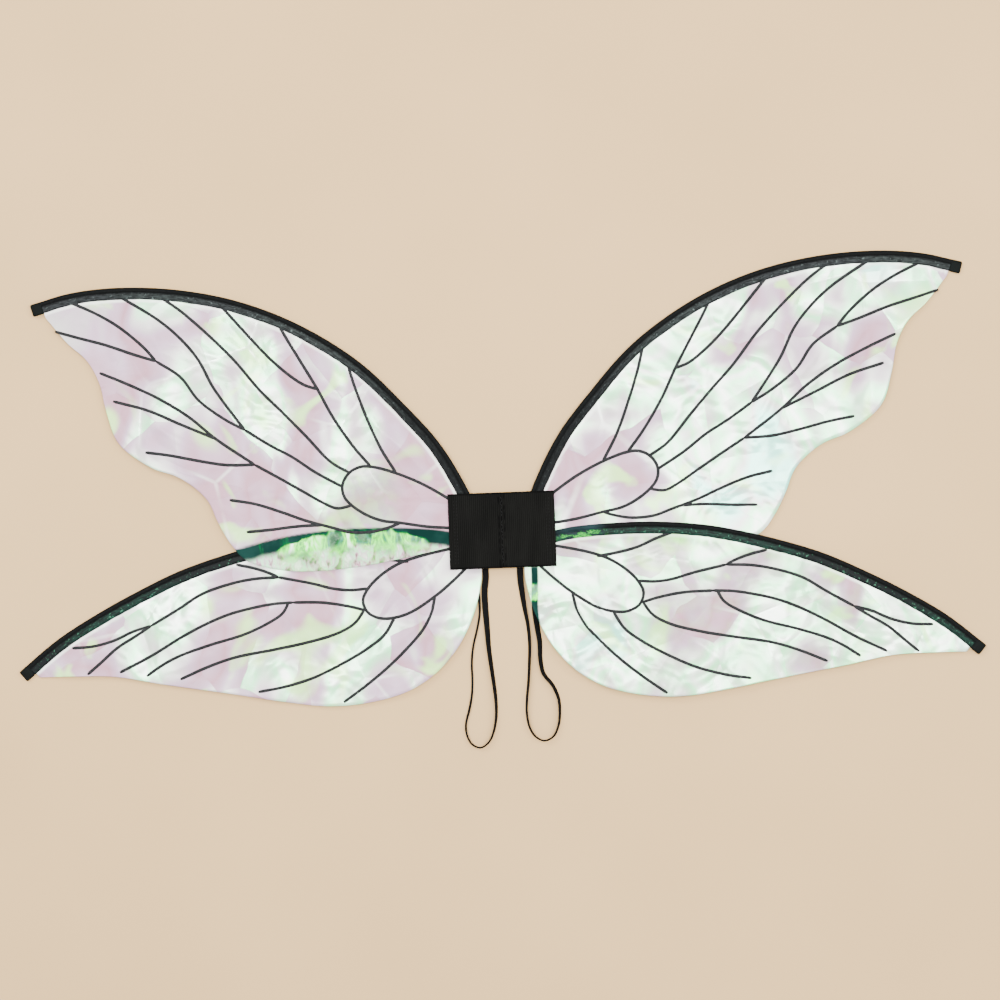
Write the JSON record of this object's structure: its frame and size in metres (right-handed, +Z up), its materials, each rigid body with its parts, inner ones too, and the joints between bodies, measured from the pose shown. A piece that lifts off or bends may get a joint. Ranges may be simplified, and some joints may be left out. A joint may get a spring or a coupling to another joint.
{
  "type": "fairy wings",
  "caption": "Wearable costume wings: wired iridescent film with printed veins, held in a folding webbing panel with elastic arm loops.",
  "frame": {"origin": "on the centre seam, at the middle of the wings' height, on the surface that they lie on", "axes": "+Z up from that surface through the face that shows when worn, +X along the span, +Y towards the upper wings"},
  "size_m": [0.9072, 0.4558, 0.0105],
  "materials": {
    "webbing": "matt ribbed black elastic webbing",
    "binding": "black folded tape with a slight sheen",
    "wire": "drawn steel wire",
    "cap": "soft black vinyl",
    "thread": "black sewing thread",
    "elastic": "flat black braided elastic",
    "film": "thin iridescent film, pink to mint, with printed black veins"
  },
  "bodies": {
    "centre_seam": {"centre_seam_tape": "webbing"},
    "left_half": {"panel_back_left": "webbing", "panel_front_left": "webbing", "arm_loop_left": "elastic", "strap_end_left_1": "elastic", "strap_end_left_2": "elastic", "root_tack_upper_left": "thread", "root_tack_lower_left": "thread"},
    "right_half": {"panel_back_right": "webbing", "panel_front_right": "webbing", "arm_loop_right": "elastic", "strap_end_right_1": "elastic", "strap_end_right_2": "elastic", "root_tack_upper_right": "thread", "root_tack_lower_right": "thread"},
    "upper_left_wing": {"wire_upper_left": "wire", "binding_upper_left": "binding", "film_upper_left": "film", "tip_cap_upper_left": "cap"},
    "lower_left_wing": {"wire_lower_left": "wire", "binding_lower_left": "binding", "film_lower_left": "film", "tip_cap_lower_left": "cap"},
    "upper_right_wing": {"wire_upper_right": "wire", "binding_upper_right": "binding", "film_upper_right": "film", "tip_cap_upper_right": "cap"},
    "lower_right_wing": {"wire_lower_right": "wire", "binding_lower_right": "binding", "film_lower_right": "film", "tip_cap_lower_right": "cap"}
  },
  "joints": [
    {"name": "left_fold", "type": "hinge", "parent": "centre_seam", "child": "left_half", "pos_m": [-0.006, -0.0439, 0.00525], "axis": [0, 1, 0], "range_deg": [0, 90]},
    {"name": "right_fold", "type": "hinge", "parent": "centre_seam", "child": "right_half", "pos_m": [0.006, -0.0439, 0.00525], "axis": [0, -1, 0], "range_deg": [0, 90]},
    {"name": "upper_left_swing", "type": "hinge", "parent": "left_half", "child": "upper_left_wing", "pos_m": [-0.01901, -0.04177, 0.0076], "axis": [0.0082, -0.0044, -1], "range_deg": [-8, 8]},
    {"name": "lower_left_swing", "type": "hinge", "parent": "left_half", "child": "lower_left_wing", "pos_m": [-0.02316, -0.05579, 0.004], "axis": [0.0052, 0.0013, -1], "range_deg": [-8, 8]},
    {"name": "upper_right_swing", "type": "hinge", "parent": "right_half", "child": "upper_right_wing", "pos_m": [0.01903, -0.0417, 0.004], "axis": [0.0044, 0.0024, 1], "range_deg": [-8, 8]},
    {"name": "lower_right_swing", "type": "hinge", "parent": "right_half", "child": "lower_right_wing", "pos_m": [0.02314, -0.0558, 0.0076], "axis": [0.0096, -0.0026, 1], "range_deg": [-8, 8]}
  ]
}
